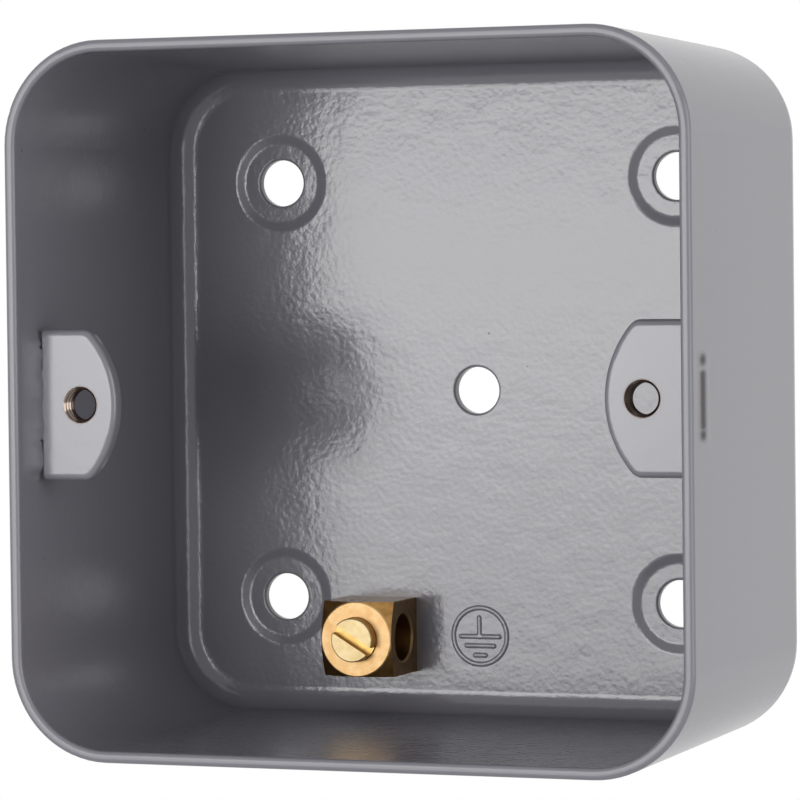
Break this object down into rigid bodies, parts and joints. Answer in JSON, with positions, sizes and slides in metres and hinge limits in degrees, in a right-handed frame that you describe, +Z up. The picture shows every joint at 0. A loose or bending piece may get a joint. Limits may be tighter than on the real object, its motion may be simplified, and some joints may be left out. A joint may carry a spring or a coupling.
{
  "type": "back box",
  "caption": "Square drawn-steel back box for a wall accessory, with rounded edges, screw lugs on both side walls, fixing holes in the back and a brass earth terminal.",
  "frame": {"origin": "middle of the outer face of the back, on the axis of the middle hole, in the plane that lies on the wall", "axes": "+Y into the wall and square to the back, +Z up with the earth terminal at the bottom, +X right as seen through the open front"},
  "size_m": [0.073, 0.04, 0.073],
  "materials": {
    "shell_coat": "semi-gloss grey powder coat on drawn steel",
    "lug_coat": "semi-gloss grey powder coat on steel plate, bare in the tapped hole",
    "terminal_brass": "plain machined brass, slightly tarnished"
  },
  "bodies": {
    "box": {"shell": "shell_coat", "lug_left": "lug_coat", "lug_right": "lug_coat", "terminal_block": "terminal_brass"},
    "clamp_screw": {"terminal_screw": "terminal_brass"}
  },
  "joints": [
    {"name": "clamp_screw_travel", "type": "slide", "parent": "box", "child": "clamp_screw", "axis": [0, 1, 0], "range_m": [-0.0025, 0.0017]}
  ]
}
